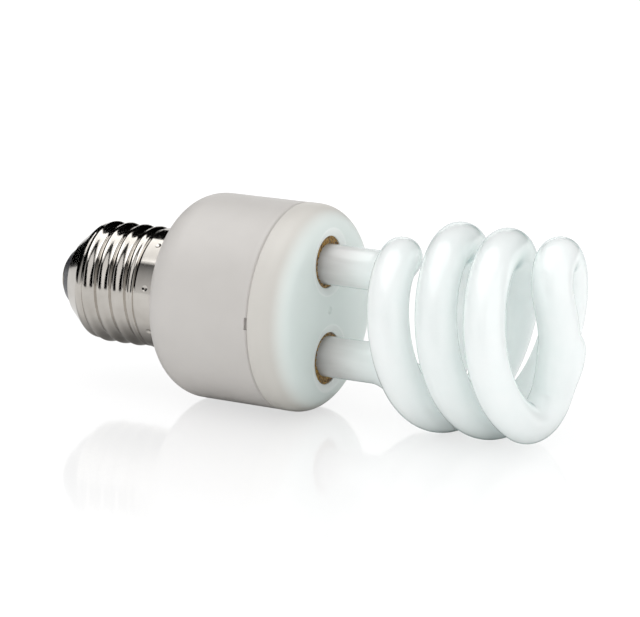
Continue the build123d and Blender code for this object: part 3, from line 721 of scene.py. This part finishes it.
def seen_rays(tree):
    """1 for rays from the camera and for those that show the surroundings in metal and glass."""
    rays = tree.nodes.new("ShaderNodeLightPath").outputs
    seen = highest(tree, rays["Is Camera Ray"], rays["Is Glossy Ray"])
    seen = highest(tree, seen, rays["Is Transmission Ray"])
    return seen, rays["Is Camera Ray"]


def matte(tree, grey):
    shader = tree.nodes.new("ShaderNodeBsdfDiffuse")
    shader.inputs["Color"].default_value = (grey, grey, grey, 1)
    return shader.outputs["BSDF"]


def glowing(tree, grey, strength):
    """Matte white that glows, so that it is white where no shadow falls on it."""
    glow = tree.nodes.new("ShaderNodeEmission")
    glow.inputs["Strength"].default_value = strength
    both = tree.nodes.new("ShaderNodeAddShader")
    tree.links.new(matte(tree, grey), both.inputs[0])
    tree.links.new(glow.outputs["Emission"], both.inputs[1])
    return both.outputs["Shader"]


def mixed(tree, factor, first, second):
    """Surface that goes from a first to a second one with a factor."""
    mix = tree.nodes.new("ShaderNodeMixShader")
    tree.links.new(factor, mix.inputs["Fac"])
    tree.links.new(first, mix.inputs[1])
    tree.links.new(second, mix.inputs[2])
    return mix.outputs["Shader"]


def near_bulb(tree, reach):
    """1 under the middle of the bulb, fading to 0 at a reach along and across it."""
    along, across = reach
    place = tree.nodes.new("ShaderNodeTexCoord").outputs["Object"]
    near = tree.nodes.new("ShaderNodeTexGradient")
    near.gradient_type = "SPHERICAL"
    tree.links.new(stretched(tree, place, (1 / along, 1 / across, 1)), near.inputs["Vector"])
    return near.outputs["Fac"]


def mirror_strength(tree):
    """Gloss of the floor at this slant; it fades away from the bulb."""
    slant = tree.nodes.new("ShaderNodeFresnel")
    slant.inputs["IOR"].default_value = MIRROR_IOR
    strength = tree.nodes.new("ShaderNodeMath")
    strength.operation = "MULTIPLY"
    tree.links.new(slant.outputs["Fac"], strength.inputs[0])
    tree.links.new(near_bulb(tree, MIRROR_REACH), strength.inputs[1])
    return strength.outputs["Value"]


def bare_tree(name):
    """New stage material without a shader."""
    material = bpy.data.materials.new(name)
    material.use_nodes = True
    tree = material.node_tree
    tree.nodes.remove(tree.nodes["Principled BSDF"])
    return material, tree


def white_floor():
    deselect_all()
    bpy.ops.mesh.primitive_plane_add(size=FLOOR_SIZE, location=(0, 0, 0))
    floor = bpy.context.object
    floor.name = "floor"
    material, tree = bare_tree("white_floor")
    gloss = tree.nodes.new("ShaderNodeBsdfGlossy")
    gloss.inputs["Roughness"].default_value = MIRROR_ROUGHNESS
    white = glowing(tree, FLOOR_SHADOW, FLOOR_GLOW)
    polished = mixed(tree, mirror_strength(tree), white, gloss.outputs["BSDF"])
    open_floor = glowing(tree, MIRRORED_SHADOW, MIRRORED_GLOW)
    # Painted shadow under the bulb, in the floor that metal and glass mirror
    mirrored = mixed(tree, near_bulb(tree, CONTACT_SHADOW_REACH), open_floor, matte(tree, CONTACT_SHADOW_GREY))
    seen, by_camera = seen_rays(tree)
    shown = mixed(tree, by_camera, mirrored, polished)
    surface = mixed(tree, seen, matte(tree, FLOOR_BOUNCE), shown)
    tree.links.new(surface, tree.nodes["Material Output"].inputs["Surface"])
    floor.data.materials.append(material)


def white_world():
    """Even white light; camera, metal and glass see plain white."""
    world = bpy.data.worlds.new("white_world")
    bpy.context.scene.world = world
    world.use_nodes = True
    tree = world.node_tree
    light = tree.nodes["Background"]
    light.inputs["Color"].default_value = (1, 1, 1, 1)
    light.inputs["Strength"].default_value = WORLD_LIGHT
    white = tree.nodes.new("ShaderNodeBackground")
    white.inputs["Color"].default_value = (1, 1, 1, 1)
    white.inputs["Strength"].default_value = 1.0
    seen, _ = seen_rays(tree)
    surface = mixed(tree, seen, light.outputs["Background"], white.outputs["Background"])
    tree.links.new(surface, tree.nodes["World Output"].inputs["Surface"])


def lamp(name, place, power, tone=(1, 1, 1), mirrored=True):
    """Square soft lamp that faces the bulb; metal and glass mirror it or not."""
    bpy.ops.object.light_add(type="AREA", location=place)
    light = bpy.context.object
    light.name = name
    light.data.size = LAMP_SIZE
    light.data.energy = power
    light.data.color = tone
    light.visible_glossy = mirrored
    towards_bulb = Vector((0, 0, AXIS_Z)) - Vector(place)
    light.rotation_euler = towards_bulb.to_track_quat("-Z", "Y").to_euler()


def studio_card(name, glow, place, turned, width, height):
    """Card that only metal and glass mirror, with the glow of its lower and its upper edge."""
    lower, upper = glow
    deselect_all()
    bpy.ops.mesh.primitive_plane_add(size=2 * CARD_EDGE, location=place, rotation=turned)
    card = bpy.context.object
    card.name = name
    card.scale = (width, height, 1)
    material, tree = bare_tree(name)
    axes = tree.nodes.new("ShaderNodeSeparateXYZ")
    tree.links.new(tree.nodes.new("ShaderNodeTexCoord").outputs["Object"], axes.inputs["Vector"])
    fade = tree.nodes.new("ShaderNodeMapRange")
    fade.inputs["From Min"].default_value = -CARD_EDGE
    fade.inputs["From Max"].default_value = CARD_EDGE
    fade.inputs["To Min"].default_value = lower
    fade.inputs["To Max"].default_value = upper
    tree.links.new(axes.outputs["Y"], fade.inputs["Value"])
    shader = tree.nodes.new("ShaderNodeEmission")
    tree.links.new(fade.outputs["Result"], shader.inputs["Strength"])
    tree.links.new(shader.outputs["Emission"], tree.nodes["Material Output"].inputs["Surface"])
    card.data.materials.append(material)
    card.visible_camera = False
    card.visible_diffuse = False
    card.visible_shadow = False


def upright_card(name, glow, heading, distance, width, bottom, top):
    """Card that stands upright and faces the bulb from a heading round it."""
    around = radians(heading)
    place = (distance * sin(around), -distance * cos(around), (bottom + top) / 2)
    studio_card(name, glow, place, (radians(90), 0, around), width, top - bottom)


def back_card(name, turn, width, bottom, top):
    """Black card behind the bulb, turned round it from straight behind."""
    upright_card(name, BLACK, BEHIND + turn, BACK_CARD_DISTANCE, width, bottom, top)


def front_card(name, glow, heading, width):
    """Card on the camera's side of the bulb, standing on the floor."""
    upright_card(name, glow, heading, FRONT_CARD_DISTANCE, width, 0.0, FRONT_CARD_TOP)


def level_card(name, glow, x, width):
    """Card above the bulb."""
    studio_card(name, glow, (x, TOP_CARD_Y, TOP_CARD_Z), (0, 0, 0), width, TOP_CARD_DEPTH)


def photo_camera():
    azimuth, elevation = radians(CAMERA_AZIMUTH), radians(CAMERA_ELEVATION)
    aim = Vector((FRONT_X - AIM_BACK, 0, AXIS_Z + AIM_RISE))
    back = Vector((sin(azimuth) * cos(elevation), -cos(azimuth) * cos(elevation), sin(elevation)))
    bpy.ops.object.camera_add(location=aim + back * CAMERA_DISTANCE)
    camera = bpy.context.object
    roll = Quaternion((0, 0, 1), radians(CAMERA_ROLL))
    camera.rotation_euler = ((-back).to_track_quat("-Z", "Y") @ roll).to_euler()
    camera.data.lens = CAMERA_LENS
    camera.data.sensor_width = CAMERA_SENSOR
    camera.data.sensor_fit = "HORIZONTAL"
    bpy.context.scene.camera = camera


white_floor()
white_world()

lamp("overhead_lamp", (-0.15, -0.35, 1.1), power=2.5)
lamp("coil_side_lamp", (1.2, -0.5, 0.6), power=0.8, tone=COOL_WHITE, mirrored=False)
lamp("end_lamp", (1.2, 0.45, 0.4), power=1.0, tone=COOLER_WHITE, mirrored=False)

# A gap stays low between the back cards, so that the floor mirrors only white behind the bulb.
back_card("left_back_card", BACK_CARD_TURN, width=1.5, bottom=0.0, top=1.2)
back_card("right_back_card", -BACK_CARD_TURN, width=1.5, bottom=0.0, top=2.0)
back_card("upper_back_card", 0.0, width=1.0, bottom=0.4, top=2.0)
front_card("front_card", (0.72, 0.1), heading=-CAMERA_AZIMUTH, width=0.7)
front_card("camera_card", BLACK, heading=14, width=1.15)
front_card("left_card", BLACK, heading=-62, width=0.75)
level_card("top_card", (0.6, 2.0), x=-0.6, width=2.6)
level_card("right_top_card", BLACK, x=0.85, width=0.3)

photo_camera()

bpy.context.scene.view_settings.view_transform = "Standard"
